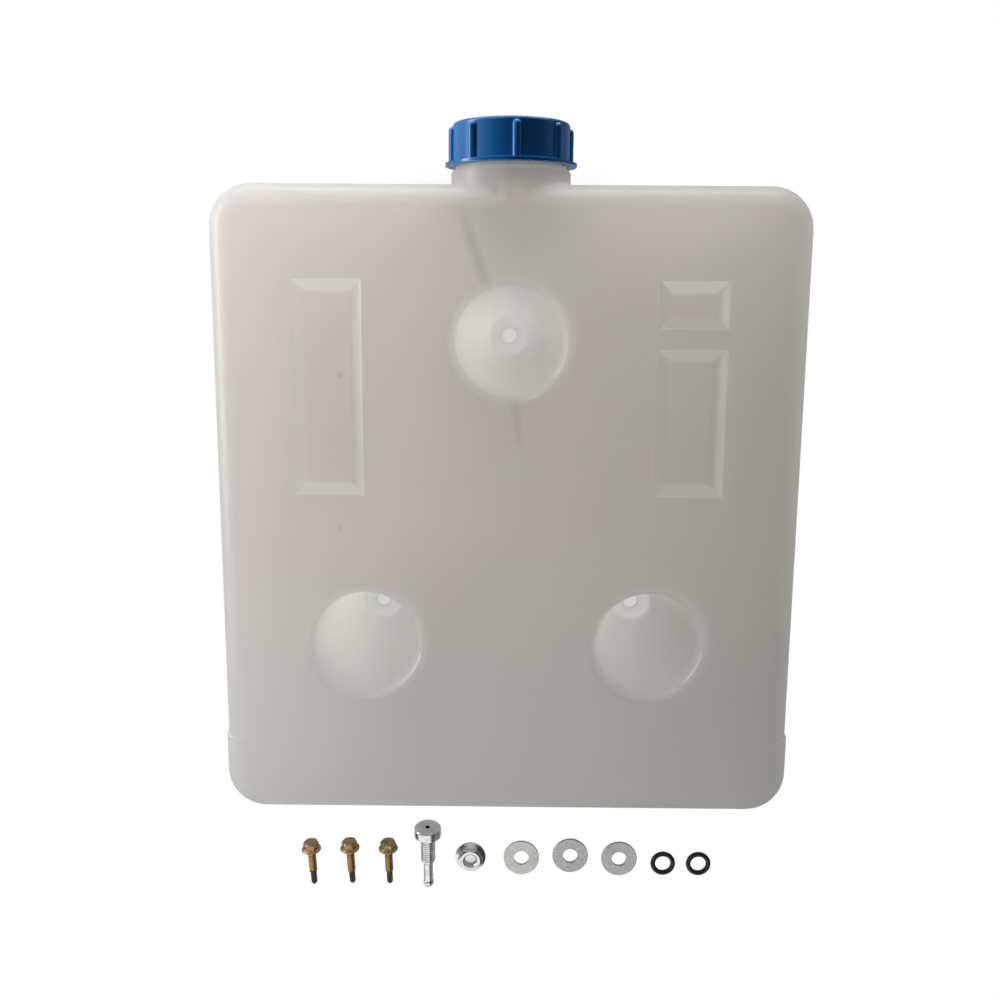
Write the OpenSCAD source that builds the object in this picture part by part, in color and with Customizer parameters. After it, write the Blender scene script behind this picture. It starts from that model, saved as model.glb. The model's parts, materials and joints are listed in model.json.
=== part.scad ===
// Flat fuel tank for a diesel heater, with its screw cap and its loose fixing kit.
// The tank lies on its back: +Y points to the filler, +Z out of the front face.
// The origin is the middle of the flat back face. All sizes are in millimetres.

/* [Tank body] */
// Height of the body, from foot to shoulder
tank_h = 370; // [340:1:420]
// Width of the body above the band at its foot
tank_w = 338; // [325:1:400]
// Depth of the body, back to front
tank_d = 100; // [85:1:120]
// Wall thickness
wall = 2.5; // [1.5:0.1:4]
// Radius of the corners, seen from the front
corner_r = 24; // [18:0.5:34]
// Radius of the edges around the front and the back
edge_r = 15; // [8:0.5:17]
// Height of the wider band at the foot
plinth_h = 47; // [38:1:60]
// How far that band stands out on each side
plinth_step = 1.2; // [0.4:0.1:2]

/* [Fixing wells] */
// Diameter of a well just inside its rounded rim
well_mouth_d = 60; // [46:1:66]
// Radius of the rounded rim
well_rim_r = 7; // [4:0.5:9]
// Diameter of the flat seat on the floor
well_seat_d = 26; // [25.5:0.5:34]
// Thickness of the floor, where front and back walls are fused
well_web = 4; // [3:0.5:8]
// Diameter of the screw hole
screw_hole_d = 9; // [6:0.5:10]
// Height of the upper well above the middle of the body
upper_well_y = 99; // [92:0.5:105]
// Depth of the lower wells below the middle of the body
lower_well_drop = 77.5; // [70:0.5:90]
// Distance between the lower wells
lower_well_spacing = 166; // [150:1:190]

/* [Sunken panels] */
// Width of a panel
panel_w = 39.5; // [30:0.5:42]
// Distance of the panels' middle line from the middle of the body
panel_x = 102.5; // [98:0.5:112]
// Height of the panels' top edge above the middle of the body
panel_top_y = 133; // [125:1:140]
// Height of the whole panel column
panel_h = 122; // [100:1:140]
// Height of the short panel
short_panel_h = 27; // [20:0.5:40]
// Land between the short panel and the long one below it
panel_land = 10.5; // [8:0.5:16]
// Depth of a panel, and width of its mitred bevel
panel_depth = 6; // [3:0.5:8]

/* [Neck] */
// Diameter of the mouth
mouth_d = 51; // [44:0.5:58]
// Wall of the neck, under its thread
neck_wall = 3.4; // [2.4:0.1:4]
// Height of the neck's rim above the shoulder
neck_h = 30.5; // [29:0.5:40]
// How far the collar stands out from the neck
collar_ledge = 5.3; // [4.6:0.1:6]
// How far the collar's front stays behind the front face
collar_setback = 0.8; // [0.5:0.1:6]
// Height of the collar above the shoulder
collar_h = 9.6; // [6:0.2:9.6]
// Radius of the collar's upper edge
collar_edge_r = 2.6; // [1:0.1:3]
// Gap between the stop bead on top of the collar and the closed cap
bead_gap = 0.3; // [0.2:0.1:1]

/* [Cap] */
// Height of the cap
cap_h = 23.5; // [20:0.1:23.5]
// Room for the thread between the neck and the cap's skirt
thread_room = 2.2; // [1.8:0.1:3]
// Thickness of the cap's skirt
cap_skirt = 2.3; // [1.6:0.1:2.6]
// Thickness of the cap's top
cap_top = 2.5; // [2:0.1:4]
// Radius of the cap's upper edge
cap_edge_r = 1.8; // [0.6:0.1:1.9]
// Number of grip ribs
rib_count = 8; // [6:1:12]
// Width of a rib
rib_w = 5.2; // [4:0.1:6]
// How far a rib stands out
rib_reach = 2.4; // [1:0.1:2.4]
// Turn of the first rib from straight ahead
rib_turn = 5; // [0:1:20]
// How far the cap's flange stands out from the skirt
flange_reach = 4.2; // [3:0.1:6]
// Thickness of the flange at its edge
flange_edge = 1.6; // [1:0.1:2.4]
// Thickness of the flange where it meets the skirt
flange_root = 2.8; // [2.4:0.1:4]
// Thickness of the gasket
gasket_t = 2; // [1:0.1:2.5]
// Play between the gasket and the skirt
gasket_play = 0.4; // [0.3:0.1:1]

/* [Fixing kit] */
// Distance of the kit's row from the foot of the tank
kit_gap = 81.5; // [60:0.5:110]
// Pitch of the screws in the row
screw_pitch = 27; // [20:0.5:40]
// Pitch of the washers in the row
washer_pitch = 34.5; // [30:0.5:50]
// Pitch of the O-rings in the row
ring_pitch = 25; // [20:0.5:40]

/* [Screws] */
// Width of the screw head across its flats
screw_flats = 9.5; // [8:0.5:10]
// Height of the screw head with its washer face
screw_head_h = 6.2; // [5:0.1:8]
// Diameter of the washer face
screw_face_d = 13.5; // [12.5:0.1:15]
// Thickness of the washer face
screw_face_h = 1.5; // [1:0.1:2]
// Diameter of the screw under its thread
screw_core_d = 4.3; // [3.6:0.1:5]
// Length of the screw under its head
screw_l = 30; // [24:1:45]
// Length of the drill point
drill_l = 11; // [8:0.5:14]
// Diameter of the drill point
drill_d = 4.2; // [3.4:0.1:5]

/* [Outlet fitting] */
// Diameter of the fitting's head
fitting_head_d = 18.5; // [15:0.1:22]
// Height of the fitting's head
fitting_head_h = 7.4; // [5:0.1:9]
// Diameter of the threaded part under its thread
fitting_core_d = 8.6; // [8.4:0.1:9]
// Length of the threaded part
fitting_thread_l = 21.5; // [15:0.5:30]
// Diameter of the hose stem
stem_d = 6.5; // [5.5:0.1:7]
// Length of the hose stem
stem_l = 19; // [12:0.5:30]
// Diameter of the bead that holds the hose
stem_bead_d = 7.3; // [7.1:0.1:8]
// Diameter of the fuel passage
passage_d = 3.2; // [2:0.1:4]

/* [Nut, washers and O-rings] */
// Width of the nut across its flats
nut_flats = 15; // [14:0.5:17]
// Height of the nut
nut_h = 7; // [6:0.5:12]
// Diameter of the nut's flange
nut_flange_d = 21.4; // [20.2:0.1:24]
// Thickness of the nut's flange at its edge
nut_flange_edge = 1.2; // [0.8:0.1:2]
// Diameter of the nut's hole inside its thread
nut_bore_d = 8.5; // [8:0.1:9]
// Diameter of a washer
washer_d = 25; // [20:0.5:25]
// Diameter of a washer's hole
washer_hole_d = 10.5; // [8:0.1:11]
// Thickness of a washer
washer_t = 2; // [1.2:0.1:2.5]
// Inner diameter of an O-ring
ring_bore_d = 10.8; // [10:0.1:12]
// Thickness of an O-ring
ring_w = 3.3; // [2:0.1:4]

/* [Hidden] */
$fn = 72;

// Overlap that lets a cut run clear of the face it opens
past = 1;

// Places of the wells: the upper one, then the lower pair
well_places = [
    [0, upper_well_y],
    [-lower_well_spacing / 2, -lower_well_drop],
    [lower_well_spacing / 2, -lower_well_drop]
];

// Diameters of the neck and the cap, from the mouth outwards
neck_d = mouth_d + 2 * neck_wall;
collar_d = neck_d + 2 * collar_ledge;
cap_bore_d = neck_d + 2 * thread_room;
cap_d = cap_bore_d + 2 * cap_skirt;
flange_d = cap_d + 2 * flange_reach;
gasket_d = cap_bore_d - 2 * gasket_play;

// Middle line of the neck, which brings the collar's front nearly flush with the front face
neck_z = tank_d - collar_setback - collar_d / 2;

// Heights of the closed cap's ceiling and foot above the shoulder
cap_ceiling = neck_h + gasket_t;
cap_foot = cap_ceiling + cap_top - cap_h;

// Row of the kit, below the foot of the tank: the middle of each group along the row
kit_y = -tank_h / 2 - kit_gap;
screw_x = -109;
fitting_x = -54;
nut_x = -24.5;
washer_x = 46;
ring_x = 124;

// How far pieces lie above the row's middle line, and how the screws are turned
screw_lifts = [9, 10, 10];
fitting_lift = 22;
washer_lifts = [0, 2, 0];
ring_lift = -3;
screw_turns = [1.5, 2, 1];

// Bevels of the small pieces
hex_bevel = 0.9;
face_edge = 0.5;
drill_cone_l = 2.4;
drill_end_d = 0.4;
flute_d = 2.4;
flute_depth = 0.9;
flute_lean = 10;
fitting_bevel = 0.8;
stem_end_l = 2;
stem_end_d = 5.2;
stem_bead_l = 2.4;
stem_bead_rise = 0.8;
nut_flange_root = 2.8;
nut_bevel = 0.9;
washer_break = 0.3;

// Section of a plate's border: reach r, thickness d, both outer edges rounded by e
module border_section(r, d, e) {
    difference() {
        square([r, d]);
        for (side = [0, 1])
            translate([r - e, side * d])
                mirror([0, side])
                    difference() {
                        translate([0, -past])
                            square([e + past, e + past]);
                        translate([0, e])
                            circle(e);
                    }
    }
}

// Plate with round corners and round edges, its back on z = inset, widened on each side by widen.
// It is the body's envelope, or what is left of it when every face moves in by inset.
module rounded_plate(inset, widen) {
    d = tank_d - 2 * inset;
    r = corner_r - inset;
    x = tank_w / 2 + widen - corner_r;
    y = tank_h / 2 - corner_r;
    corners = [[x, -y], [x, y], [-x, y], [-x, -y]];
    translate([0, 0, inset]) {
        translate([-x, -y, 0])
            cube([2 * x, 2 * y, d]);
        for (i = [0 : 3]) {
            run = norm(corners[(i + 1) % 4] - corners[i]);
            translate(corners[i]) {
                rotate(90 * (i - 1))
                    rotate_extrude(angle = 90)
                        border_section(r, d, edge_r - inset);
                rotate(90 * i)
                    translate([0, run, 0])
                        rotate([90, 0, 0])
                            linear_extrude(run)
                                border_section(r, d, edge_r - inset);
            }
        }
    }
}

// The body's envelope with the wider band at its foot
module body_envelope(inset) {
    step_y = plinth_h - tank_h / 2;
    reach = 2 * tank_w;
    intersection() {
        rounded_plate(inset, 0);
        translate([-reach / 2, step_y, -past])
            cube([reach, tank_h, tank_d + 2 * past]);
    }
    intersection() {
        rounded_plate(inset, plinth_step);
        translate([-reach / 2, step_y - tank_h, -past])
            cube([reach, tank_h, tank_d + 2 * past]);
    }
}

// Round funnel from the front face down to floor_z, with its wall moved out by grow.
// The wall runs from the seat's edge to the rim, tangent to the rim's round.
module well_funnel(grow, floor_z) {
    seat_edge = [well_seat_d / 2, well_web];
    rim_centre = [well_mouth_d / 2 + well_rim_r, tank_d - well_rim_r];
    rim_span = rim_centre - seat_edge;
    slope = atan2(rim_span[1], rim_span[0]) + asin(well_rim_r / norm(rim_span));
    rim_r = well_rim_r - grow;
    touch = rim_centre - rim_r * [sin(slope), -cos(slope)];
    foot_r = touch[0] - (touch[1] - floor_z) / tan(slope);
    rotate_extrude()
        difference() {
            polygon([
                [0, floor_z], [foot_r, floor_z], touch, rim_centre,
                [rim_centre[0], tank_d + past], [0, tank_d + past]
            ]);
            translate(rim_centre)
                circle(rim_r);
        }
}

// Trapezoid section of a panel, w wide at the front face, with its flanks moved out by grow
module panel_section(w, grow) {
    floor_z = tank_d - panel_depth - grow;
    front = w / 2 + grow * sqrt(2);
    floor_half = front - panel_depth - grow;
    polygon([
        [-floor_half, floor_z], [floor_half, floor_z],
        [front + past, tank_d + past], [-front - past, tank_d + past]
    ]);
}

// Sunken panel with mitred bevels, its middle at x and its top edge at y
module panel_recess(x, y, h, grow) {
    span = 2 * (panel_w + h);
    translate([x, y - h / 2, 0])
        intersection() {
            translate([0, span / 2, 0])
                rotate([90, 0, 0])
                    linear_extrude(span)
                        panel_section(panel_w, grow);
            translate([-span / 2, 0, 0])
                rotate([90, 0, 90])
                    linear_extrude(span)
                        panel_section(h, grow);
        }
}

module panel_recesses(grow) {
    long_drop = short_panel_h + panel_land;
    panel_recess(-panel_x, panel_top_y, panel_h, grow);
    panel_recess(panel_x, panel_top_y, short_panel_h, grow);
    panel_recess(panel_x, panel_top_y - long_drop, panel_h - long_drop, grow);
}

// Puts a piece that is drawn upright onto the neck's axis, with its foot on the shoulder
module on_neck() {
    translate([0, tank_h / 2, neck_z])
        rotate([-90, 0, 0])
            children();
}

// Outside of the neck: collar with a rounded upper edge, stop bead under the cap, threaded finish
module neck_outside() {
    edge = collar_d / 2 - collar_edge_r;
    rotate_extrude() {
        translate([0, -edge_r])
            square([collar_d / 2, edge_r + collar_h - collar_edge_r]);
        square([edge, cap_foot - bead_gap]);
        translate([edge, collar_h - collar_edge_r])
            circle(collar_edge_r);
        square([neck_d / 2, neck_h]);
    }
}

// Inside of the body: walls stay around the wells and behind the panels
module body_cavity() {
    difference() {
        body_envelope(wall);
        for (place = well_places)
            translate(place)
                well_funnel(wall, 0);
        panel_recesses(wall);
    }
}

module tank_shell() {
    color([0.85, 0.83, 0.79])
        difference() {
            union() {
                body_envelope(0);
                on_neck()
                    neck_outside();
            }
            body_cavity();
            for (place = well_places)
                translate(place) {
                    well_funnel(0, well_web);
                    translate([0, 0, -past])
                        cylinder(d = screw_hole_d, h = well_web + 2 * past);
                }
            panel_recesses(0);
            on_neck()
                translate([0, 0, -2 * wall])
                    cylinder(d = mouth_d, h = neck_h + 2 * wall + past);
        }
}

// Cap with a conical flange, a rounded upper edge and rounded grip ribs
module filler_cap() {
    rib_top = cap_h - cap_edge_r;
    color([0.06, 0.25, 0.55])
        on_neck()
            translate([0, 0, cap_foot])
                difference() {
                    union() {
                        rotate_extrude() {
                            square([cap_d / 2, cap_h - cap_edge_r]);
                            square([cap_d / 2 - cap_edge_r, cap_h]);
                            translate([cap_d / 2 - cap_edge_r, cap_h - cap_edge_r])
                                circle(cap_edge_r);
                            polygon([
                                [0, 0], [flange_d / 2, 0], [flange_d / 2, flange_edge],
                                [cap_d / 2, flange_root], [0, flange_root]
                            ]);
                        }
                        for (i = [0 : rib_count - 1])
                            rotate(rib_turn - 90 + i * 360 / rib_count)
                                translate([cap_d / 2 + rib_reach - rib_w / 2, 0, 0]) {
                                    cylinder(d = rib_w, h = rib_top - rib_w / 2);
                                    translate([0, 0, rib_top - rib_w / 2])
                                        sphere(d = rib_w);
                                }
                    }
                    translate([0, 0, -past])
                        cylinder(d = cap_bore_d, h = cap_h - cap_top + past);
                }
}

// Flat sealing ring between the neck's rim and the cap's ceiling
module cap_gasket() {
    color([0.85, 0.85, 0.83])
        on_neck()
            translate([0, 0, neck_h])
                difference() {
                    cylinder(d = gasket_d, h = gasket_t);
                    translate([0, 0, -past])
                        cylinder(d = mouth_d, h = gasket_t + 2 * past);
                }
}

// Lays a turned piece on its side, with its head towards the filler. It is drawn upright, head up,
// and comes to rest on two rims, each given as [radius, height]: one on the head, one on the tip.
module laid_down(head_rim, tip_rim) {
    drop = head_rim - tip_rim;
    rotate([atan2(drop[0], drop[1]), 0, 0])
        translate([0, -head_rim[1], head_rim[0]])
            rotate([-90, 0, 0])
                children();
}

// Hexagon prism with its upper corners turned off
module hex_prism(flats, h) {
    corner = flats / 2 / cos(30);
    intersection() {
        cylinder(r = corner, h = h, $fn = 6);
        rotate_extrude()
            polygon([[0, 0], [corner, 0], [corner, h - hex_bevel], [corner - 2 * hex_bevel, h], [0, h]]);
    }
}

// Drill point with two flutes; the flutes stay clear of the line that it rests on
module drill_point() {
    difference() {
        union() {
            translate([0, 0, drill_cone_l])
                cylinder(d = drill_d, h = drill_l - drill_cone_l);
            cylinder(d1 = drill_end_d, d2 = drill_d, h = drill_cone_l);
        }
        for (turn = [-45, 135])
            rotate(turn)
                translate([drill_d / 2 + flute_d / 2 - flute_depth, 0, -past])
                    rotate([flute_lean, 0, 0])
                        cylinder(d = flute_d, h = drill_l);
    }
}

// Self-drilling screw, drawn upright with the bearing side of its washer face on z = 0
module self_drilling_screw() {
    color([0.72, 0.58, 0.30]) {
        hex_prism(screw_flats, screw_head_h);
        rotate_extrude()
            polygon([
                [0, 0], [screw_face_d / 2, 0], [screw_face_d / 2, face_edge],
                [screw_flats / 2, screw_face_h], [0, screw_face_h]
            ]);
        translate([0, 0, drill_l - screw_l])
            cylinder(d = screw_core_d, h = screw_l - drill_l);
        translate([0, 0, -screw_l])
            drill_point();
    }
}

module mounting_screw(i) {
    translate([screw_x + (i - 1) * screw_pitch, kit_y + screw_lifts[i], 0])
        rotate(screw_turns[i])
            laid_down([screw_face_d / 2, 0], [drill_d / 2, drill_cone_l - screw_l])
                self_drilling_screw();
}

// Hollow bolt with a beaded hose stem, laid on its side
module outlet_fitting() {
    head_r = fitting_head_d / 2;
    core_r = fitting_core_d / 2;
    stem_r = stem_d / 2;
    bead_r = stem_bead_d / 2;
    shoulder_z = -fitting_thread_l;
    tip_z = shoulder_z - stem_l;
    bead_z = tip_z + stem_end_l;
    color([0.70, 0.71, 0.72])
        translate([fitting_x, kit_y + fitting_lift, 0])
            laid_down([head_r, fitting_bevel], [bead_r, bead_z])
                rotate_extrude()
                    polygon([
                        [passage_d / 2, fitting_head_h], [head_r - fitting_bevel, fitting_head_h],
                        [head_r, fitting_head_h - fitting_bevel], [head_r, fitting_bevel],
                        [head_r - fitting_bevel, 0], [core_r, 0],
                        [core_r, shoulder_z + core_r - stem_r], [stem_r, shoulder_z],
                        [stem_r, bead_z + stem_bead_l], [bead_r, bead_z + stem_bead_l - stem_bead_rise],
                        [bead_r, bead_z], [stem_end_d / 2, tip_z], [passage_d / 2, tip_z]
                    ]);
}

// Flanged nut, lying on its flange
module outlet_nut() {
    color([0.72, 0.73, 0.74])
        translate([nut_x, kit_y, 0])
            difference() {
                union() {
                    hex_prism(nut_flats, nut_h);
                    rotate_extrude()
                        polygon([
                            [0, 0], [nut_flange_d / 2, 0], [nut_flange_d / 2, nut_flange_edge],
                            [nut_flats / 2, nut_flange_root], [0, nut_flange_root]
                        ]);
                }
                translate([0, 0, -past])
                    cylinder(d = nut_bore_d, h = nut_h + 2 * past);
                for (side = [0, 1])
                    translate([0, 0, side * nut_h])
                        mirror([0, 0, side])
                            cylinder(d1 = nut_bore_d + 2 * nut_bevel, d2 = nut_bore_d, h = nut_bevel);
            }
}

// Plain washer with slightly broken edges
module flat_washer(i) {
    outer = washer_d / 2;
    inner = washer_hole_d / 2;
    color([0.66, 0.66, 0.64])
        translate([washer_x + (i - 1) * washer_pitch, kit_y + washer_lifts[i], 0])
            rotate_extrude()
                polygon([
                    [inner, 0], [outer - washer_break, 0], [outer, washer_break],
                    [outer, washer_t - washer_break], [outer - washer_break, washer_t],
                    [inner, washer_t]
                ]);
}

module o_ring(i) {
    color([0.07, 0.07, 0.07])
        translate([ring_x + (i - 0.5) * ring_pitch, kit_y + ring_lift, ring_w / 2])
            rotate_extrude()
                translate([(ring_bore_d + ring_w) / 2, 0])
                    circle(d = ring_w);
}

tank_shell();
filler_cap();
cap_gasket();
for (i = [0 : 2])
    mounting_screw(i);
outlet_fitting();
outlet_nut();
for (i = [0 : 2])
    flat_washer(i);
for (i = [0 : 1])
    o_ring(i);
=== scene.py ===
"""Dresses the flat diesel heater fuel tank and its loose fixing kit for the photograph's view.

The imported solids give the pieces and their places. This script turns the shell into one translucent
skin with softened edges, adds the threads that the solids leave plain, and makes the materials, the
lights, the floor and the camera. Lengths are in metres unless a comment says millimetres, in the frame
of the solids: +Y points to the filler and +Z out of the tank's front.
"""

import json
import math

import bmesh
import bpy
from mathutils import Matrix, Quaternion, Vector
from mathutils.bvhtree import BVHTree


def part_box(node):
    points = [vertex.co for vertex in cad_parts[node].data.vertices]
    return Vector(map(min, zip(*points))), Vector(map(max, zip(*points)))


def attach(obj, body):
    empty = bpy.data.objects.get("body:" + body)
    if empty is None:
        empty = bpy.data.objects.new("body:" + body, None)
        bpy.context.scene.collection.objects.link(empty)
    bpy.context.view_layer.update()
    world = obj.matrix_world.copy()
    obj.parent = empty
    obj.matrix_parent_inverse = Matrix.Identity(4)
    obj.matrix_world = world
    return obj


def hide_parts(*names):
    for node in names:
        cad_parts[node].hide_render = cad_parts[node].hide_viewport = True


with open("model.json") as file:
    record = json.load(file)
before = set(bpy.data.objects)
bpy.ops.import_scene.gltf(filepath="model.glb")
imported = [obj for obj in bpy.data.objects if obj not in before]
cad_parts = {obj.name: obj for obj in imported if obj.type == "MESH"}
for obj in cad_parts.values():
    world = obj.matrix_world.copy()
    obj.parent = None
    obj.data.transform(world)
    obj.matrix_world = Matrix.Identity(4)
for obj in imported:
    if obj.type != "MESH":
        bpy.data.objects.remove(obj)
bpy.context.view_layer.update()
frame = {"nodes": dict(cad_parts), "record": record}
nodes = frame["nodes"]

MM = 0.001

# Camera, as the photograph's perspective gives it
CAMERA_AT = Vector((-1.3, 124.4, 716.2)) * MM
CAMERA_AIM = Vector((-5.4, -9.5, 0)) * MM
CAMERA_ROLL = math.radians(0.41)
CAMERA_LENS = 39.41

# Neck, from the gasket that lies on its rim
gasket_low, gasket_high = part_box("cap_gasket")
NECK_Z = (gasket_low.z + gasket_high.z) / 2
RIM = Vector((0, gasket_low.y, NECK_Z))
BORE_LENGTH = 60 * MM
MOUTH_R = min(math.hypot(v.co.x, v.co.z - NECK_Z) for v in nodes["cap_gasket"].data.vertices)
ON_RIM = Matrix.Translation(RIM) @ Matrix.Rotation(-math.pi / 2, 4, "X")

# Axes of the wells, which are those of the screw holes
mounts = {mount["name"]: mount for mount in frame["record"]["mounts"]}
low_x, low_y = mounts["lower_screw_holes"]["pos_m"][:2]
half_spacing = mounts["lower_screw_holes"]["dims"]["spacing_x_mm"] / 2 * MM
WELLS = [
    Vector(mounts["upper_screw_hole"]["pos_m"]).xy,
    Vector((low_x - half_spacing, low_y)),
    Vector((low_x + half_spacing, low_y)),
]

# Half section of a well, in millimetres: rim on the front and its rounding, seat and its soft corner
WELL_RIM_R, WELL_RIM_ROUND = 37, 7
WELL_SEAT_R, WELL_SEAT_Z, WELL_SEAT_ROUND = 13, 4, 2.5
RIM_STEPS, WALL_STEPS, SEAT_STEPS = 14, 24, 8

# Soft bevel of a sunken panel, in millimetres: width, depth, radius of its inner corners
PANEL_EASE, PANEL_DEPTH, PANEL_CORNER_R = 8, 6, 2.5
PANEL_RINGS, CORNER_POINTS = 14, 5

# Where the panels are, in millimetres: least distance from a well's axis, lower and upper end
PANEL_FROM_WELL, PANEL_LOW, PANEL_HIGH = 45, 0, 140

# Edges of the skin, in millimetres: radii about the collar's foot and its upper end, step of the foot's band
COLLAR_FOOT_R, COLLAR_FOOT_Y = (33.5, 34.6), 186
COLLAR_FOOT_UNDER_FRONT = 1.7
BAND_STEP_Y = -138
# Half length of the stretch in which the front gives its height, away from the collar
FRONT_HALF = 100
HOLE_EDGE_R = 6

# How much of the light that meets the plastic passes through it: on the faces, deep in the wells,
# on the wells' seats
FACE_THROUGH, WELL_THROUGH, SEAT_THROUGH = 0.68, 0.74, 0.95
# What is added on the panels' lower and left bevels, and on the left walls of wells that lie to the left:
# painted light on the lower bevels, painted shade on the left bevels and walls
LOW_BEVEL_THROUGH, LEFT_BEVEL_THROUGH, LEFT_WALL_THROUGH = 0.12, -0.10, -0.14
# How much of the cool tone of sloping faces, which is painted reflection, the left bevels lose
LEFT_BEVEL_WARMTH = 0.6
# Distances in millimetres between which a look fades: a well's with its depth, the left walls' with the
# well's place to the left, a seat's with the radius, and that of the floor under a seat
WELL_FADE, LEFT_FADE, SEAT_FADE, UNDER_SEAT_FADE = (1, 30), (20, 110), (16, 12), (18, 12)
# Glow of the floor under the tank, and how many times brighter it is under a seat
UNDER_TANK_GLOW, UNDER_SEAT_GAIN = 0.62, 1.14

# Streaks of painted shadow on the front, and dark specks in the front's plastic, in millimetres: start, end
# and width of streaks, place and radius of specks
SHADOW_STREAKS = (((-12.3, 127.2), (-28.9, 176.0), 5.0), ((3.0, 66.0), (6.2, 38.0), 4.4))
SPECKS = (((-96.3, 79.2, 94), 3.2), ((-96.9, -8.0, 100), 1.8))

# Loose kit, in millimetres and degrees: line of its row, then for each long piece its place along the row,
# how far its head stands above the line, and its turn
KIT_Y = -266.5
SCREWS = ((-136, 9, 1.5), (-109, 10, 2), (-82, 10, 1))
FITTING = (-54, 22, 0)
NUT_X = -24.5
# Rims on which a long piece rests, as radius and place along its axis: one of its head, one near its tip
SCREW_RESTS = ((6.75, 0), (2.1, -27.6))
FITTING_RESTS = ((9.25, 0.8), (3.65, -38.5))

# Threads, in millimetres: root and crest radius, pitch, lower and upper end, half width of the foot as a
# share of the pitch, steps in a turn
NECK_THREAD = (28.9, 30.5, 6, -15.5, -2.5, 0.44, 60)
CAP_THREAD = (31.1, 29.5, 6, -12.5, -4.5, 0.44, 60)
SCREW_THREAD = (2.15, 2.8, 1.6, -19.0, -1.0, 0.3, 28)
FITTING_THREAD = (4.25, 5.0, 1.75, -20, -1.2, 0.4, 40)
NUT_THREAD = (4.25, 4.0, 1.75, 1.2, 5.8, 0.4, 32)
# How deep a ridge is rooted, half width of its crest as a share of the pitch, and how many times its
# height it would grow in a turn from an end
THREAD_BITE, CREST_HALF, FADE_RATE = 0.12, 0.08, 3

# Places in metres where the colour changes: below the screws' heads, at their points, which are much darker,
# after the first washer
HEAD_SHADE_Y, POINT_SHADE_Y, WASHER_SHADE_X = (-0.2585, -0.2565), (-0.2740, -0.2755), (0.025, 0.033)
# How far below a screw's place in the row its edges are still rounded, in millimetres
HEAD_REACH = 2


# Mesh pieces


def new_object(name, mesh):
    """An object of the scene that holds the bmesh, which is freed."""
    data = bpy.data.meshes.new(name)
    mesh.to_mesh(data)
    mesh.free()
    piece = bpy.data.objects.new(name, data)
    bpy.context.scene.collection.objects.link(piece)
    return piece


def smooth(mesh, angle):
    """Shades the faces smooth, apart from the edges sharper than angle."""
    for face in mesh.faces:
        face.smooth = True
    for edge in mesh.edges:
        edge.smooth = not edge.is_manifold or edge.calc_face_angle() < angle


def even_normals(piece):
    """Lets flat faces keep their flat shading beside rounded edges."""
    modifier = piece.modifiers.new("even normals", "WEIGHTED_NORMAL")
    modifier.keep_sharp = True
    modifier.weight = 80


def inside_faces(mesh):
    """Faces of the hollow, which a walk reaches from under the mouth without crossing the neck's bore."""

    def on_bore(face):
        return all(
            abs(math.hypot(v.co.x, v.co.z - NECK_Z) - MOUTH_R) < 0.1 * MM and v.co.y > RIM.y - BORE_LENGTH
            for v in face.verts
        )

    seed = BVHTree.FromBMesh(mesh).ray_cast(RIM, Vector((0, -1, 0)))[2]
    mesh.faces.ensure_lookup_table()
    found, waiting = {mesh.faces[seed]}, [mesh.faces[seed]]
    while waiting:
        for edge in waiting.pop().edges:
            for face in edge.link_faces:
                if face not in found and not on_bore(face):
                    found.add(face)
                    waiting.append(face)
    return list(found)


def sharp_edges(mesh, angle=14):
    """Edges at which two faces meet at more than the angle in degrees."""
    limit = math.radians(angle)
    return [edge for edge in mesh.edges if edge.is_manifold and edge.calc_face_angle() > limit]


def soften(mesh, edges, radius, segments):
    """Rounds edges, to a radius in millimetres."""
    bmesh.ops.bevel(
        mesh, geom=edges, offset=radius * MM, offset_type="OFFSET", segments=segments, profile=0.5,
        affect="EDGES", clamp_overlap=True,
    )


def copied(node):
    """The welded mesh of a node."""
    mesh = bmesh.new()
    mesh.from_mesh(nodes[node].data)
    bmesh.ops.remove_doubles(mesh, verts=mesh.verts, dist=0.001 * MM)
    return mesh


def join_flats(mesh):
    """Joins the triangles of each flat face into one face."""
    bmesh.ops.dissolve_limit(
        mesh, angle_limit=math.radians(0.3), verts=mesh.verts, edges=mesh.edges, delimit={"NORMAL"}
    )


def eased(value, low, high):
    """The value's place between low and high as a share from 0 to 1, with soft ends."""
    share = min(1, max(0, (value - low) / (high - low)))
    return share * share * (3 - 2 * share)


def well_distance(point):
    """Distance from a point to the nearest axis of a well."""
    return min((point.xy - axis).length for axis in WELLS)


def well_section(front):
    """Points of a well's half section below its rim, as radius and height in millimetres."""
    rim = Vector((WELL_RIM_R, front / MM - WELL_RIM_ROUND))
    down = rim - Vector((WELL_SEAT_R, WELL_SEAT_Z))
    slope = math.atan2(down.y, down.x) + math.asin(WELL_RIM_ROUND / down.length)
    wall = Vector((math.cos(slope), math.sin(slope)))
    inward = Vector((-wall.y, wall.x))
    points = []
    for i in range(1, RIM_STEPS + 1):
        turn = slope * i / RIM_STEPS
        points.append(rim + WELL_RIM_ROUND * Vector((-math.sin(turn), math.cos(turn))))
    back = WELL_SEAT_ROUND / math.tan((math.pi - slope) / 2)
    corner = Vector((WELL_SEAT_R - back, WELL_SEAT_Z + WELL_SEAT_ROUND))
    foot = corner - WELL_SEAT_ROUND * inward
    points += [points[-1].lerp(foot, i / WALL_STEPS) for i in range(1, WALL_STEPS + 1)]
    for i in range(1, SEAT_STEPS + 1):
        turn = slope * (1 - i / SEAT_STEPS)
        points.append(corner + WELL_SEAT_ROUND * Vector((math.sin(turn), -math.cos(turn))))
    return points


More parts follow.
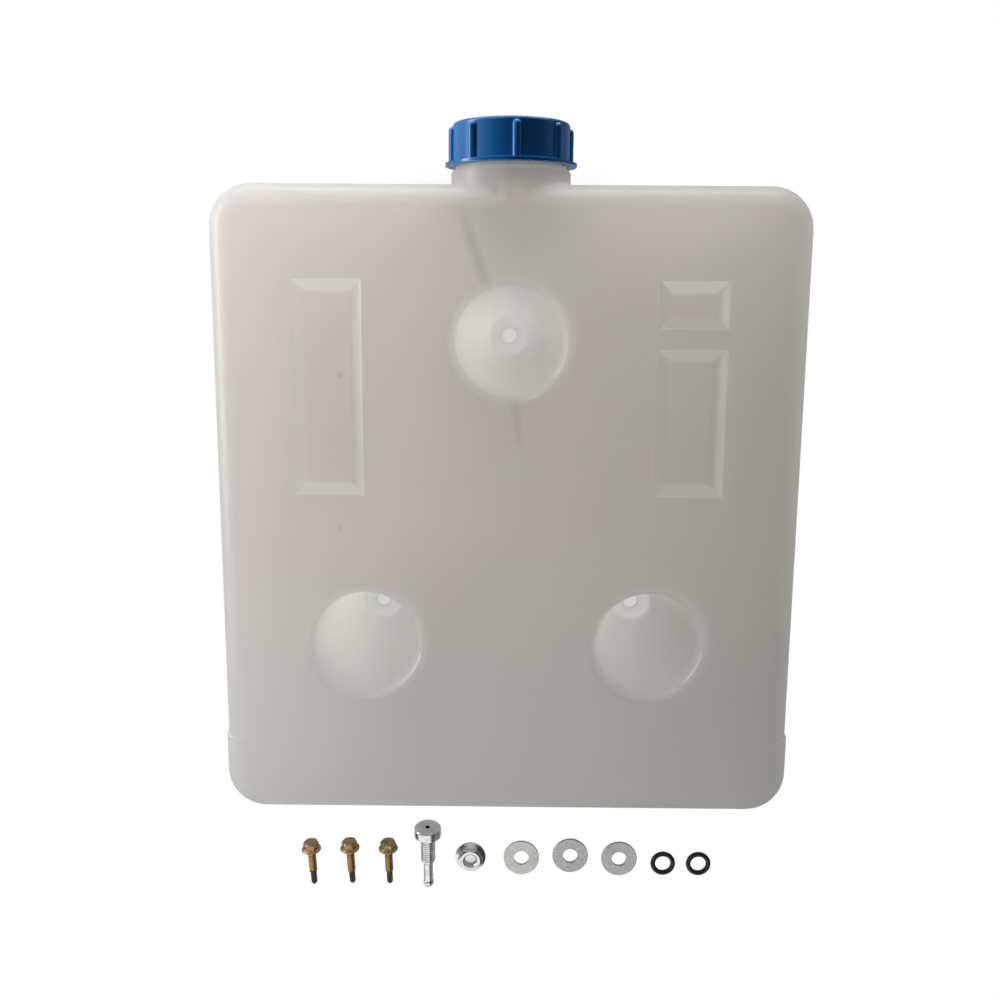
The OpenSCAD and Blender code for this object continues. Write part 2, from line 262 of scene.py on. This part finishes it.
def turn_wells(mesh, front):
    """Gives each well an even turned surface from its rim on the front to the screw hole in its seat."""
    for axis in WELLS:

        def within(item, radius):
            return all((v.co.xy - axis).length < radius * MM for v in item.verts)

        old = [
            face for face in mesh.faces
            if within(face, WELL_RIM_R + 0.05) and all(v.co.z > (WELL_SEAT_Z - 0.05) * MM for v in face.verts)
        ]
        bmesh.ops.delete(mesh, geom=old, context="FACES")
        edges = [edge for edge in mesh.edges if edge.is_boundary and within(edge, WELL_RIM_R + 3)]
        hole = [edge for edge in edges if within(edge, WELL_SEAT_R - 3)]
        ring = {v for edge in edges if edge not in hole for v in edge.verts}
        ring = sorted(ring, key=lambda v: math.atan2(v.co.y - axis.y, v.co.x - axis.x))
        for radius, height in well_section(front):
            inner = []
            for v in ring:
                outward = (v.co.xy - axis).normalized() * radius * MM
                inner.append(mesh.verts.new((*(axis + outward), height * MM)))
            for i in range(len(ring)):
                mesh.faces.new((ring[i - 1], ring[i], inner[i], inner[i - 1]))
            ring = inner
        last = [mesh.edges.get((ring[i - 1], ring[i])) for i in range(len(ring))]
        seat = bmesh.ops.bridge_loops(mesh, edges=last + hole)["faces"]
        bmesh.ops.reverse_faces(mesh, faces=[face for face in seat if face.normal.z < 0])


def in_panel(p, front):
    """Whether a point lies on a sunken panel or on the front about it."""
    deep = front - (PANEL_DEPTH + 1) * MM < p.z < front + 0.1 * MM
    return deep and well_distance(p) > PANEL_FROM_WELL * MM and PANEL_LOW * MM < p.y < PANEL_HIGH * MM


def ease_panels(mesh, front):
    """Gives each sunken panel a bevel that runs softly from the front to the panel's floor."""

    def whole(item):
        return all(in_panel(v.co, front) for v in item.verts)

    old = [
        face for face in mesh.faces
        if whole(face) and min(v.co.z for v in face.verts) < front - 1 * MM
    ]
    bmesh.ops.delete(mesh, geom=old, context="FACES")
    open_edges = {edge for edge in mesh.edges if edge.is_boundary and whole(edge)}
    while open_edges:
        rim, waiting = set(), [open_edges.pop()]
        while waiting:
            for v in waiting.pop().verts:
                rim.add(v)
                linked = open_edges & set(v.link_edges)
                open_edges -= linked
                waiting += linked
        low, high = (Vector((pick(v.co.x for v in rim), pick(v.co.y for v in rim))) for pick in (min, max))
        middle, half = (low + high) / 2, (high - low) / 2
        signs = ((1, 1), (-1, 1), (-1, -1), (1, -1))
        corners = [
            min(rim, key=lambda v: abs(v.co.x - middle.x - a * half.x) + abs(v.co.y - middle.y - b * half.y))
            for a, b in signs
        ]
        ring = None
        for i in range(1, PANEL_RINGS + 1):
            share = i / PANEL_RINGS
            depth = PANEL_DEPTH * MM * (eased(share, 0, 1) + 1 - (1 - share) ** 2) / 2
            radius = PANEL_CORNER_R * MM * share
            reach = [side - PANEL_EASE * MM * share - radius for side in half]
            inner = []
            for quarter, (a, b) in enumerate(signs):
                for k in range(CORNER_POINTS):
                    angle = math.pi / 2 * (quarter + k / (CORNER_POINTS - 1))
                    inner.append(mesh.verts.new((
                        middle.x + a * reach[0] + radius * math.cos(angle),
                        middle.y + b * reach[1] + radius * math.sin(angle),
                        front - depth,
                    )))
            if ring:
                for k in range(len(ring)):
                    mesh.faces.new((ring[k - 1], ring[k], inner[k], inner[k - 1]))
            else:
                for quarter, corner in enumerate(corners):
                    first = CORNER_POINTS * quarter
                    for k in range(first, first + CORNER_POINTS - 1):
                        mesh.faces.new((corner, inner[k + 1], inner[k]))
                    mesh.faces.new((corners[quarter - 1], corner, inner[first], inner[first - 1]))
            ring = inner
        mesh.faces.new(ring)
    mesh.normal_update()
    bmesh.ops.reverse_faces(mesh, faces=[face for face in mesh.faces if face.normal.z < 0 and whole(face)])


def tank_skin():
    """The outside of the shell as one skin, so that light meets each wall once, with soft moulded edges."""
    mesh = copied("tank_shell")
    bmesh.ops.delete(mesh, geom=inside_faces(mesh), context="FACES")
    join_flats(mesh)
    front = max(v.co.z for v in mesh.verts if abs(v.co.y) < FRONT_HALF * MM)
    turn_wells(mesh, front)
    ease_panels(mesh, front)

    def at_collar_foot(p):
        low, high = COLLAR_FOOT_R
        in_ring = low * MM < math.hypot(p.x, p.z - NECK_Z) < high * MM
        return in_ring and p.y < COLLAR_FOOT_Y * MM and p.z < front - COLLAR_FOOT_UNDER_FRONT * MM

    def at_step(p):
        return abs(p.y - BAND_STEP_Y * MM) < 0.2 * MM

    def at_hole(p):
        return p.z < (WELL_SEAT_Z + 0.1) * MM and well_distance(p) < HOLE_EDGE_R * MM

    def at_rim(p):
        return p.y > RIM.y - 0.1 * MM

    for place, radius, segments in (
        (at_collar_foot, 3.0, 4), (at_step, 0.45, 2), (at_hole, 0.5, 3), (at_rim, 0.6, 3),
    ):
        edges = [edge for edge in sharp_edges(mesh) if all(place(v.co) for v in edge.verts)]
        soften(mesh, edges, radius, segments)

    mesh.normal_update()
    through, tilt, well = (mesh.verts.layers.float.new(name) for name in ("through", "tilt", "well"))
    for v in mesh.verts:
        # Sloping faces, and the wells below their rim, take a cooler tone through tilt: painted reflection of
        # white light
        v[tilt] = eased(1 - v.normal.z, 0.02, 0.25)
        v[through] = FACE_THROUGH
        if in_panel(v.co, front):
            left_bevel, low_bevel = eased(v.normal.x, 0.05, 0.4), eased(v.normal.y, 0.05, 0.4)
            v[tilt] *= 1 - LEFT_BEVEL_WARMTH * left_bevel
            # Lower bevels let more light through and left bevels less, to look lighter and darker: painted
            # light and shade
            v[through] += LOW_BEVEL_THROUGH * low_bevel + LEFT_BEVEL_THROUGH * left_bevel
        if v.co.z > 2 * MM and well_distance(v.co) < (WELL_RIM_R - 0.1) * MM:
            deep = eased((front - v.co.z) / MM, *WELL_FADE)
            # Left walls of wells further to the left let less light through, to look darker: painted shade
            left_wall = eased(v.normal.x, 0.2, 0.9) * eased(-v.co.x / MM, *LEFT_FADE)
            v[well] = 1
            v[tilt] = max(v[tilt], deep)
            v[through] += (WELL_THROUGH - FACE_THROUGH) * deep + LEFT_WALL_THROUGH * left_wall
    smooth(mesh, math.radians(35))
    return new_object("tank_skin", mesh)


tank = tank_skin()
even_normals(tank)
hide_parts("tank_shell")
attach(tank, "tank")


def soft_copy(node, body, radius, pick=None):
    """A copy of a node with its sharp edges rounded, where pick says so, which stands for the node."""
    mesh = copied(node)
    join_flats(mesh)
    edges = [edge for edge in sharp_edges(mesh, 25) if not pick or all(pick(v.co) for v in edge.verts)]
    soften(mesh, edges, radius, 2)
    smooth(mesh, math.radians(35))
    piece = new_object(node + "_soft", mesh)
    even_normals(piece)
    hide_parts(node)
    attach(piece, body)
    return piece


def thread(name, place, body, slot, root, crest, pitch, low, high, foot, steps):
    """A right-handed ridge about the Z axis of place, from a thread's values, that fades out at both ends."""
    mesh = bmesh.new()
    turns = (high - low) / pitch
    count = round(turns * steps)
    outward = 1 if crest > root else -1
    rings = []
    for i in range(count + 1):
        turn = turns * i / count
        fade = min(1, turn * FADE_RATE, (turns - turn) * FADE_RATE)
        angle = 2 * math.pi * turn
        axial = low + pitch * turn
        tip = root + (crest - root) * fade
        base = root - outward * THREAD_BITE
        section = ((base, -foot), (tip, -CREST_HALF), (tip, CREST_HALF), (base, foot))
        around = Vector((math.cos(angle), math.sin(angle), 0))
        rings.append([
            mesh.verts.new(place @ ((r * around + Vector((0, 0, axial + w * pitch))) * MM))
            for r, w in section
        ])
    for one, two in zip(rings, rings[1:]):
        for j in range(4):
            k = (j + 1) % 4
            mesh.faces.new((one[j], one[k], two[k], two[j]))
    mesh.faces.new(rings[0][::-1])
    mesh.faces.new(rings[-1])
    bmesh.ops.recalc_face_normals(mesh, faces=mesh.faces)
    smooth(mesh, math.radians(40))
    piece = new_object(name, mesh)
    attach(piece, body)
    return piece


def laid(x, lift, turn, head_rim, tip_rim):
    tilt = math.atan2(head_rim[0] - tip_rim[0], head_rim[1] - tip_rim[1])
    return (
        Matrix.Translation(Vector((x, KIT_Y + lift, 0)) * MM)
        @ Matrix.Rotation(math.radians(turn), 4, "Z")
        @ Matrix.Rotation(tilt, 4, "X")
        @ Matrix.Translation(Vector((0, -head_rim[1], head_rim[0])) * MM)
        @ Matrix.Rotation(-math.pi / 2, 4, "X")
    )


neck_thread = thread("neck_thread", ON_RIM, "tank", "tank_plastic", *NECK_THREAD)
# The thread takes the face's share of light let through and the full cool tone of painted reflection
for name, value in (("through", FACE_THROUGH), ("tilt", 1.0), ("well", 0.0)):
    layer = neck_thread.data.attributes.new(name, "FLOAT", "POINT")
    layer.data.foreach_set("value", [value] * len(layer.data))
cap_thread = thread("cap_thread", ON_RIM, "cap", "cap_plastic", *CAP_THREAD)

cap = soft_copy("filler_cap", "cap", 0.5)
screws, screw_threads = [], []
for i, (x, lift, turn) in enumerate(SCREWS, 1):
    under_head = (KIT_Y + lift - HEAD_REACH) * MM
    screws.append(soft_copy(
        f"mounting_screw_{i}", "tank", 0.3, lambda p: p.y > under_head
    ))
    place = laid(x, lift, turn, *SCREW_RESTS)
    screw_threads.append(thread(f"screw_thread_{i}", place, "tank", "yellow_zinc", *SCREW_THREAD))
fitting = soft_copy("outlet_fitting", "tank", 0.25)
fitting_place = laid(*FITTING, *FITTING_RESTS)
fitting_thread = thread("fitting_thread", fitting_place, "tank", "bright_zinc", *FITTING_THREAD)
nut = soft_copy("outlet_nut", "tank", 0.25)
nut_place = Matrix.Translation(Vector((NUT_X, KIT_Y, 0)) * MM)
nut_thread = thread("nut_thread", nut_place, "tank", "bright_zinc", *NUT_THREAD)


# Materials


class Nodes:
    """A node tree under construction."""

    def __init__(self, tree):
        self.tree = tree

    def set(self, node, sockets):
        """Sets sockets, named with underscores, to values or links them to other sockets."""
        for key, value in sockets.items():
            socket = node.inputs[key if isinstance(key, int) else key.replace("_", " ")]
            if isinstance(value, bpy.types.NodeSocket):
                self.tree.links.new(value, socket)
            else:
                socket.default_value = value

    def add(self, kind, settings=None, **sockets):
        """A new shader node with its settings and sockets."""
        node = self.tree.nodes.new("ShaderNode" + kind)
        for key, value in (settings or {}).items():
            setattr(node, key, value)
        self.set(node, sockets)
        return node

    def place(self):
        """Where a point is, in the frame of the solids."""
        return self.add("TexCoord").outputs["Object"]

    def noise(self, size, detail=2.0):
        """Noise from 0 to 1 with grains of about that size in metres."""
        return self.add("TexNoise", Vector=self.place(), Scale=1 / size, Detail=detail).outputs["Fac"]

    def span(self, value, low, high, to_low=0.0, to_high=1.0):
        """The value brought from the range low to high to another range, with soft ends."""
        node = self.add("MapRange", {"interpolation_type": "SMOOTHSTEP"}, Value=value)
        for socket, number in zip(node.inputs[1:5], (low, high, to_low, to_high)):
            socket.default_value = number
        return node.outputs["Result"]

    def maths(self, operation, a, b=0.0):
        """The result of a sum or another operation on two values."""
        node = self.add("Math", {"operation": operation})
        self.set(node, {0: a, 1: b})
        return node.outputs[0]

    def tint(self, factor, a, b):
        """Colour a where the factor is 0 and b where it is 1."""
        node = self.add("Mix", {"data_type": "RGBA"})
        self.set(node, {0: factor, 6: a, 7: b})
        return node.outputs[2]

    def seen_as(self, surface, white, mirrored):
        """Shows white to the camera, mirrored to rays from metal and glass, surface to all others."""
        path = self.add("LightPath").outputs
        inner, outer = self.add("MixShader"), self.add("MixShader")
        sent = self.maths("MAXIMUM", path["Is Glossy Ray"], path["Is Transmission Ray"])
        self.set(inner, {0: sent, 1: surface, 2: mirrored})
        self.set(outer, {0: path["Is Camera Ray"], 1: inner.outputs[0], 2: white})
        end = next(node for node in self.tree.nodes if node.bl_idname.startswith("ShaderNodeOutput"))
        self.set(end, {"Surface": outer.outputs[0]})


class Surface(Nodes):
    """A Principled material under construction."""

    def __init__(self, name, **sockets):
        self.material = bpy.data.materials.new(name)
        self.material.use_nodes = True
        super().__init__(self.material.node_tree)
        self.shader = self.tree.nodes["Principled BSDF"]
        self.set(self.shader, sockets)

    def bump(self, height, depth, normal=None):
        """Bump in which height 1 stands depth metres above height 0."""
        node = self.add("Bump", Height=height, Strength=1.0, Distance=depth)
        if normal:
            self.set(node, {"Normal": normal})
        return node.outputs["Normal"]

    def paint(self, *pieces):
        """Gives the material to pieces, in place of any that they have."""
        for piece in pieces:
            piece.data.materials.clear()
            piece.data.materials.append(self.material)


WARM_PLASTIC = (0.945, 0.85, 0.765, 1)
COOL_PLASTIC = (0.90, 0.882, 0.855, 1)


def near_line(surface, start, end, width):
    """1 on the line from start to end on the front, given in millimetres, and 0 away from it."""
    start, end = Vector((*start, 0)) * MM, Vector((*end, 0)) * MM
    along = (end - start).normalized()
    across = Vector((-along.y, along.x, 0))
    offset = surface.add("VectorMath", {"operation": "SUBTRACT"})
    surface.set(offset, {0: surface.place(), 1: start})
    parts = []
    for axis in (across, along):
        dot = surface.add("VectorMath", {"operation": "DOT_PRODUCT"})
        surface.set(dot, {0: offset.outputs[0], 1: axis})
        parts.append(dot.outputs["Value"])
    aside = surface.span(surface.maths("ABSOLUTE", parts[0]), width * MM, 0.0)
    length = (end - start).length
    begun = surface.span(parts[1], -0.1 * length, 0.15 * length)
    ended = surface.span(parts[1], 1.1 * length, 0.6 * length)
    return surface.maths("MULTIPLY", aside, surface.maths("MULTIPLY", begun, ended))


def near_point(surface, point, radius, inner=0.0):
    """1 within the inner radius of a point, and 0 beyond the radius, in millimetres."""
    apart = surface.add("VectorMath", {"operation": "DISTANCE"})
    surface.set(apart, {0: surface.place(), 1: Vector(point) * MM})
    return surface.span(apart.outputs["Value"], radius * MM, inner * MM)


def make_tank_plastic():
    plastic = Surface("tank_plastic", IOR=1.5, Specular_IOR_Level=1.0)
    height, depth = plastic.add("SeparateXYZ", Vector=plastic.place()).outputs[1:3]
    warm = plastic.maths("ADD", plastic.span(height, -0.17, 0.0), plastic.noise(0.05, 2.0))
    tilt = plastic.add("Attribute", {"attribute_name": "tilt"}).outputs["Fac"]
    # The tone is warmer towards the top and at random, and cooler where tilt is high, which is painted
    # reflection on sloping faces and in the wells
    warm = plastic.maths("MULTIPLY", plastic.span(warm, 0.5, 1.6), plastic.span(tilt, 0.0, 1.0, 1.0, 0.15))
    colour = plastic.tint(warm, COOL_PLASTIC, WARM_PLASTIC)
    # Painted shadow: the streaks darken the front's colour and the colour of the light let through; the
    # specks are dark marks in the plastic
    streak_shadow = plastic.maths("ADD", *[near_line(plastic, *streak) for streak in SHADOW_STREAKS])
    streak_shadow = plastic.maths("MULTIPLY", streak_shadow, plastic.span(depth, 0.03, 0.06))
    specks = plastic.maths("ADD", *[near_point(plastic, *speck) for speck in SPECKS])
    streak_shadow, specks = plastic.maths("MULTIPLY", streak_shadow, 0.17), plastic.maths("MULTIPLY", specks, 0.2)
    shadow_and_specks = plastic.maths("ADD", streak_shadow, specks)
    colour = plastic.tint(shadow_and_specks, colour, (0.32, 0.28, 0.24, 1))
    share = plastic.add("Attribute", {"attribute_name": "through"}).outputs["Fac"]
    for axis in WELLS:
        seat = near_point(plastic, (*(axis / MM), WELL_SEAT_Z / 2), *SEAT_FADE)
        share = plastic.maths("ADD", share, plastic.maths("MULTIPLY", seat, SEAT_THROUGH - WELL_THROUGH))
    well = plastic.add("Attribute", {"attribute_name": "well"}).outputs["Fac"]
    plain = plastic.span(well, 0.0, 1.0, 1.0, 0.0)
    grain = plastic.maths("MULTIPLY", plastic.noise(0.0016, 2.0), plain)
    waves = plastic.maths("MULTIPLY", plastic.noise(0.07, 1.0), plain)
    matt = plastic.maths("MULTIPLY", plain, 0.27)
    fine = plastic.span(plastic.noise(0.03, 2.0), 0.3, 0.7, 0.07, 0.11)
    plastic.set(plastic.shader, {
        "Base Color": colour,
        "Roughness": plastic.maths("ADD", fine, matt),
        "Normal": plastic.bump(grain, 0.000012, plastic.bump(waves, 0.0002)),
    })
    clear = plastic.tint(warm, (0.955, 0.95, 0.935, 1), (0.97, 0.936, 0.893, 1))
    clear = plastic.tint(shadow_and_specks, clear, (0.40, 0.36, 0.31, 1))
    through = plastic.add("BsdfTranslucent", Color=clear)
    mixed = plastic.add("MixShader")
    plastic.set(mixed, {0: share, 1: plastic.shader.outputs[0], 2: through.outputs[0]})
    plastic.tree.links.new(mixed.outputs[0], plastic.tree.nodes["Material Output"].inputs["Surface"])
    return plastic


def make_cap_plastic():
    blue = Surface("cap_plastic", IOR=1.5)
    patches = blue.span(blue.noise(0.012, 2.0), 0.35, 0.7)
    colour = blue.tint(patches, (0.007, 0.162, 0.495, 1), (0.008, 0.172, 0.515, 1))
    blue.set(blue.shader, {
        "Base Color": colour,
        "Roughness": blue.span(blue.noise(0.006, 2.0), 0.3, 0.7, 0.225, 0.245),
        "Normal": blue.bump(blue.noise(0.0015, 1.0), 0.000001, blue.bump(blue.noise(0.02, 1.0), 0.00001)),
    })
    return blue


def make_foam():
    foam = Surface("gasket_foam")
    pores = foam.add("TexVoronoi", Vector=foam.place(), Scale=1400).outputs["Distance"]
    # The pores' pits, low in the bump, are painted darker: painted shade
    colour = foam.tint(foam.span(pores, 0.1, 0.5), (0.62, 0.62, 0.60, 1), (0.84, 0.84, 0.82, 1))
    foam.set(foam.shader, {
        "Base Color": colour,
        "Roughness": foam.span(foam.noise(0.003), 0.3, 0.7, 0.72, 0.9),
        "Normal": foam.bump(pores, 0.00025),
    })
    return foam


def make_yellow_zinc():
    gold = Surface("yellow_zinc", Metallic=1.0)
    y = gold.add("SeparateXYZ", Vector=gold.place()).outputs["Y"]
    patches = gold.noise(0.005, 2.0)
    colour = gold.tint(gold.span(patches, 0.35, 0.5), (0.20, 0.18, 0.085, 1), (0.36, 0.26, 0.12, 1))
    colour = gold.tint(gold.span(patches, 0.52, 0.66), colour, (0.40, 0.25, 0.16, 1))
    shaft = gold.tint(gold.span(patches, 0.35, 0.65), (0.50, 0.34, 0.16, 1), (0.47, 0.28, 0.15, 1))
    colour = gold.tint(gold.span(y, *HEAD_SHADE_Y), shaft, colour)
    wander = gold.maths("ADD", y, gold.maths("MULTIPLY", gold.noise(0.003), 0.002))
    tip = gold.span(wander, *POINT_SHADE_Y)
    colour = gold.tint(tip, colour, (0.075, 0.065, 0.045, 1))
    gold.set(gold.shader, {
        "Base Color": colour,
        "Roughness": gold.span(gold.noise(0.0012, 3.0), 0.3, 0.7, 0.24, 0.42),
        "Normal": gold.bump(gold.noise(0.0008, 3.0), 0.00003),
    })
    return gold


def make_bright_zinc():
    bright = Surface("bright_zinc", Metallic=1.0)
    scaled = bright.add("Mapping", Vector=bright.place(), Scale=(60, 2500, 60))
    rings = bright.add("TexNoise", Vector=scaled.outputs[0], Scale=1.0, Detail=2.0).outputs["Fac"]
    patches = bright.span(bright.noise(0.006), 0.3, 0.7)
    bright.set(bright.shader, {
        "Base Color": bright.tint(patches, (0.66, 0.67, 0.69, 1), (0.82, 0.82, 0.82, 1)),
        "Roughness": bright.span(rings, 0.3, 0.7, 0.12, 0.24),
        "Normal": bright.bump(rings, 0.000003),
    })
    return bright


def make_dull_zinc():
    dull = Surface("dull_zinc", Metallic=1.0)
    x = dull.add("SeparateXYZ", Vector=dull.place()).outputs["X"]
    tone = dull.tint(dull.span(x, *WASHER_SHADE_X), (0.86, 0.85, 0.81, 1), (0.66, 0.665, 0.64, 1))
    grains = dull.noise(0.0004, 3.0)
    colour = dull.tint(dull.span(grains, 0.35, 0.7, 0.0, 0.6), tone, (0.46, 0.46, 0.45, 1))
    stains = dull.span(dull.noise(0.012, 2.0), 0.55, 0.75, 0.0, 0.25)
    colour = dull.tint(stains, colour, (0.34, 0.36, 0.39, 1))
    dull.set(dull.shader, {
        "Base Color": colour,
        "Roughness": dull.span(dull.noise(0.0012, 3.0), 0.3, 0.7, 0.42, 0.62),
        "Normal": dull.bump(grains, 0.00003),
    })
    return dull


def make_rubber():
    rubber = Surface("black_rubber")
    dust = rubber.span(rubber.noise(0.002, 4.0), 0.5, 0.75)
    rubber.set(rubber.shader, {
        "Base Color": rubber.tint(dust, (0.016, 0.016, 0.016, 1), (0.03, 0.03, 0.029, 1)),
        "Roughness": rubber.span(rubber.noise(0.0015, 3.0), 0.3, 0.7, 0.36, 0.46),
        "Normal": rubber.bump(rubber.noise(0.0006, 2.0), 0.000003),
    })
    return rubber


make_tank_plastic().paint(tank, neck_thread)
make_cap_plastic().paint(cap, cap_thread)
make_foam().paint(nodes["cap_gasket"])
make_yellow_zinc().paint(*screws, *screw_threads)
make_bright_zinc().paint(fitting, fitting_thread, nut, nut_thread)
make_dull_zinc().paint(*[nodes[f"flat_washer_{i}"] for i in (1, 2, 3)])
make_rubber().paint(nodes["o_ring_1"], nodes["o_ring_2"])


# Floor, world, lights and camera


def make_floor():
    """Pale floor that shows as white, but dimmer under the tank, and in mirrors also to the right."""
    mesh = bmesh.new()
    bmesh.ops.create_grid(mesh, x_segments=1, y_segments=1, size=6)
    bmesh.ops.translate(mesh, verts=mesh.verts, vec=(0, 0, -0.2 * MM))
    floor = new_object("floor", mesh)
    pale = Surface("floor", Base_Color=(0.8, 0.8, 0.8, 1), Roughness=0.9)
    shade = pale.add("AmbientOcclusion", {"samples": 8}, Distance=0.06).outputs["AO"]
    covered = pale.span(shade, 0.0, 0.05, UNDER_TANK_GLOW, 0.0)
    for axis in WELLS:
        under_seat = near_point(pale, (*(axis / MM), 0), *UNDER_SEAT_FADE)
        covered = pale.maths("MULTIPLY", covered, pale.span(under_seat, 0.0, 1.0, 1.0, UNDER_SEAT_GAIN))
    bare = pale.maths("ADD", pale.span(shade, 0.0, 0.05, 0.0, 0.6), pale.span(shade, 0.22, 0.45, 0.0, 0.4))
    x = pale.add("SeparateXYZ", Vector=pale.place()).outputs["X"]
    dimmed = pale.maths("MULTIPLY", bare, pale.span(x, -0.2, 0.2, 0.5, 0.15))
    white = pale.add("Emission", Color=(1, 1, 1, 1), Strength=pale.maths("ADD", bare, covered))
    mirrored = pale.add("Emission", Color=(1, 1, 1, 1), Strength=pale.maths("ADD", dimmed, covered))
    pale.seen_as(pale.shader.outputs[0], white.outputs[0], mirrored.outputs[0])
    pale.paint(floor)


def make_world():
    """Low light for the object, and in mirrors a white horizon and card under a dark ceiling."""
    world = bpy.data.worlds.new("studio")
    bpy.context.scene.world = world
    world.use_nodes = True
    sky = Nodes(world.node_tree)
    fill = sky.tree.nodes["Background"]
    sky.set(fill, {"Color": (1, 1, 1, 1), "Strength": 0.006})
    white = sky.add("Background", Color=(1, 1, 1, 1), Strength=1.0)
    x, y, z = sky.add("SeparateXYZ", Vector=sky.add("TexCoord").outputs["Generated"]).outputs
    horizon = sky.maths("MULTIPLY", sky.span(z, 0.12, 0.5, 1.0, 0.0), sky.span(x, -0.3, 0.4, 0.7, 0.2))
    card = sky.maths("MULTIPLY", sky.span(y, -0.16, -0.36, 0.0, 1.0), sky.span(x, 0.28, 0.55, 1.0, 0.0))
    sides = sky.maths("MAXIMUM", sky.span(x, -0.5, -0.9, 0.0, 0.4), sky.span(y, 0.25, 0.5, 0.0, 0.6))
    bright = sky.maths("MAXIMUM", horizon, sky.maths("MAXIMUM", card, sides))
    mirrored = sky.add("Background", Color=(1, 1, 1, 1), Strength=sky.maths("ADD", bright, 0.05))
    sky.seen_as(fill.outputs[0], white.outputs[0], mirrored.outputs[0])


def softbox(name, at, aim, width, height, power):
    """A soft lamp of that size in metres and power in watts, which the camera doesn't see."""
    data = bpy.data.lights.new(name, "AREA")
    data.shape = "RECTANGLE"
    data.size, data.size_y = width, height
    data.energy = power
    lamp = bpy.data.objects.new(name, data)
    bpy.context.scene.collection.objects.link(lamp)
    lamp.location = at
    lamp.rotation_mode = "QUATERNION"
    lamp.rotation_quaternion = (Vector(aim) - Vector(at)).to_track_quat("-Z", "Y")
    lamp.visible_camera = False


def make_camera():
    """The photograph's camera, with the tank's filler up in the picture."""
    data = bpy.data.cameras.new("camera")
    data.lens = CAMERA_LENS
    data.clip_start = 0.01
    camera = bpy.data.objects.new("camera", data)
    bpy.context.scene.collection.objects.link(camera)
    camera.location = CAMERA_AT
    camera.rotation_mode = "QUATERNION"
    back = (CAMERA_AT - CAMERA_AIM).normalized()
    right = Vector((0, 1, 0)).cross(back).normalized()
    level = Matrix((right, back.cross(right), back)).transposed().to_quaternion()
    camera.rotation_quaternion = level @ Quaternion((0, 0, 1), CAMERA_ROLL)
    bpy.context.scene.camera = camera


make_floor()
make_world()
softbox("key", at=(-1.2, 0.30, 0.20), aim=(0, 0, 0.06), width=1.2, height=0.3, power=11.5)
softbox("top", at=(0.0, 0.60, 0.05), aim=(0.0, 0.1, 0.05), width=0.7, height=0.08, power=1.9)
softbox("window", at=(-0.42, 0.91, 0.78), aim=(0, 0, 0.1), width=0.4, height=0.12, power=1.4)
make_camera()
bpy.context.scene.view_settings.view_transform = "Standard"
